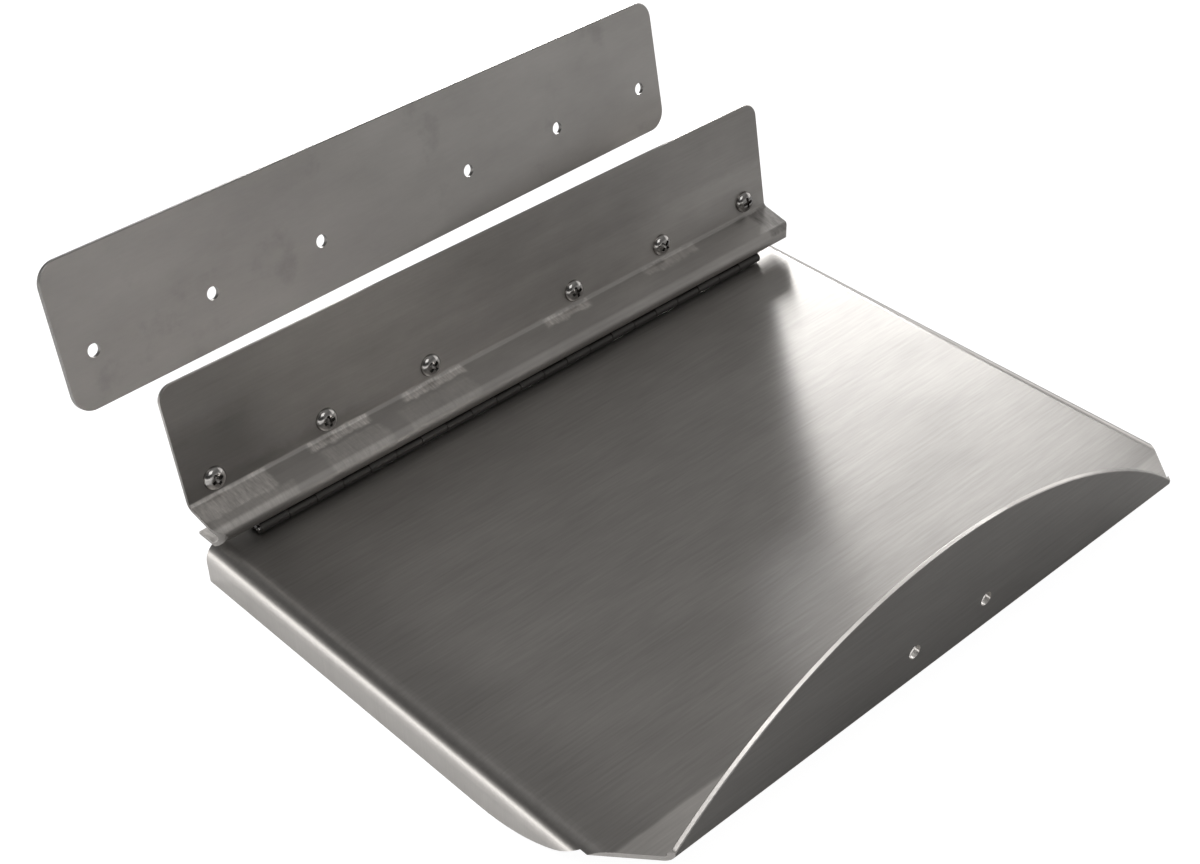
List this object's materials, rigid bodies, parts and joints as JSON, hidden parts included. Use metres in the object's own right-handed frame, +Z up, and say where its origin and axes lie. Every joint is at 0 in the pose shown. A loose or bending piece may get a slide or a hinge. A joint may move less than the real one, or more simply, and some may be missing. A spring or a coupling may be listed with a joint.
{
  "type": "boat trim tab",
  "caption": "Hinged stainless trim tab: flat plane with folded sides and an arched rear lip, hung on a leaning transom bracket by a piano hinge, with screws and a loose backing strip.",
  "frame": {"origin": "on the transom side of the bracket's flange, in the middle of its row of six screws", "axes": "+X along the hinge, +Y towards the transom, +Z up from the level tab; the tab reaches back along -Y"},
  "size_m": [0.3369, 0.2752, 0.1431],
  "materials": {
    "brushed_sheet": "brushed stainless sheet, grain along the hinge",
    "bracket_sheet": "mill-finish stainless sheet with rubbed patches along its fold",
    "strip_sheet": "mottled matt stainless sheet",
    "hinge_steel": "plain stainless hinge stock",
    "screw_steel": "polished stainless screws"
  },
  "bodies": {
    "bracket": {"hinge_bracket": "bracket_sheet", "fixed_hinge_leaf": "hinge_steel", "hinge_pin": "hinge_steel", "mounting_screw_1": "screw_steel", "mounting_screw_2": "screw_steel", "mounting_screw_3": "screw_steel", "mounting_screw_4": "screw_steel", "mounting_screw_5": "screw_steel", "mounting_screw_6": "screw_steel"},
    "tab": {"trim_plane": "brushed_sheet", "moving_hinge_leaf": "hinge_steel"},
    "strip": {"backing_strip": "strip_sheet"}
  },
  "joints": [
    {"name": "tab_hinge", "type": "hinge", "parent": "bracket", "child": "tab", "pos_m": [0, -0.01654, -0.01903], "axis": [-1, 0, 0], "range_deg": [0, 30]},
    {"name": "strip_lift", "type": "slide", "parent": "bracket", "child": "strip", "axis": [0, 0, 1], "range_m": [0, 0.05]}
  ]
}
